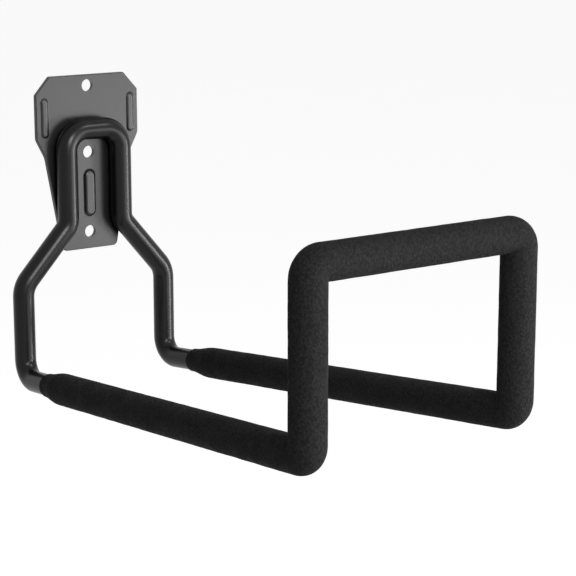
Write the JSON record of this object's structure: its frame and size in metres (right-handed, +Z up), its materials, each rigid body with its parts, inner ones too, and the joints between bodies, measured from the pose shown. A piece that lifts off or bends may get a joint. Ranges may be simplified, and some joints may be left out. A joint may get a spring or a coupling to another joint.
{
  "type": "hose hanger",
  "caption": "Wall-mounted hose hanger: a stamped steel plate carries a bent round-bar loop whose forward arms and upturned front are sleeved in soft foam.",
  "frame": {"origin": "on the wall plane at the plate's back face, halfway between the top and the bottom screw hole", "axes": "+Z up along the plate, +Y into the wall, the arms reach forward along -Y, X across the hanger"},
  "size_m": [0.141, 0.304, 0.175],
  "materials": {
    "plate_coating": "satin black powder coat",
    "bar_coating": "semi-gloss black powder coat",
    "sleeve_foam": "matte fine-grained foam"
  },
  "bodies": {
    "root": {"wall_plate": "plate_coating", "bent_bar": "bar_coating", "foam_sleeve": "sleeve_foam"}
  },
  "joints": []
}
